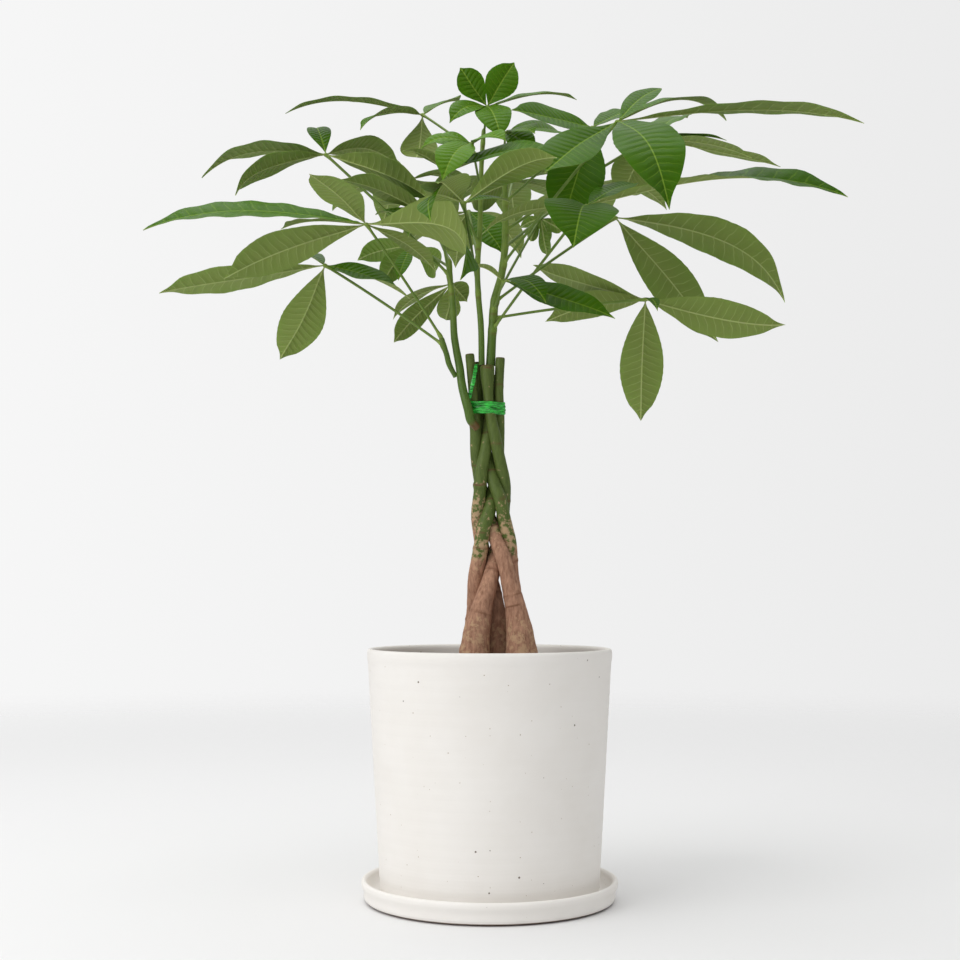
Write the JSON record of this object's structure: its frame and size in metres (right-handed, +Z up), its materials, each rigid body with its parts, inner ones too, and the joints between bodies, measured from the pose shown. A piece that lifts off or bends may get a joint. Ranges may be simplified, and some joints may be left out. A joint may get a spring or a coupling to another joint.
{
  "type": "potted money tree",
  "caption": "Braided money tree houseplant with spreading palmate leaves and a green plastic tie, in a tapered off-white stoneware pot on a matching saucer.",
  "frame": {"origin": "centre of the saucer's flat base", "axes": "+Z up along the pot's axis, -Y towards the front, +X to the right seen from the front"},
  "size_m": [0.6364, 0.4809, 0.7726],
  "materials": {
    "pot": "matte off-white stoneware with fine dark specks",
    "saucer": "matte off-white stoneware with fine dark specks",
    "soil": "loose dark potting mix",
    "bark": "matte brown bark turning green above",
    "tie": "gloss green plastic",
    "green_stem": "satin green stem",
    "leaf": "satin leaf, glossy dark green above and pale matte green below"
  },
  "bodies": {
    "root": {"saucer": "saucer", "pot": "pot", "soil": "soil", "trunk_1": "bark", "trunk_2": "bark", "trunk_3": "bark", "trunk_4": "bark", "trunk_5": "bark", "plant_tie": "tie", "shoot_left": "green_stem", "spur_left": "green_stem", "shoot_middle": "green_stem", "shoot_right": "green_stem", "leaf_left_middle": "leaf", "leaf_left_low": "leaf", "leaf_left_high": "leaf", "leaf_left_top": "leaf", "leaf_centre_left": "leaf", "leaf_centre_front": "leaf", "leaf_centre": "leaf", "leaf_right_front": "leaf", "leaf_right_top": "leaf", "leaf_right_back": "leaf", "leaf_right_long": "leaf", "leaf_right_middle": "leaf", "leaf_right_low": "leaf", "leaf_low_front": "leaf", "leaf_young_hanging": "leaf", "leaf_back_left": "leaf", "leaf_low_back": "leaf", "leaf_crown": "leaf", "leaf_young_bright": "leaf", "leaf_right_bright": "leaf", "leaf_rear_left": "leaf", "leaf_rear_middle": "leaf", "leaf_rear_right": "leaf", "leaf_rear_low": "leaf"}
  },
  "joints": []
}
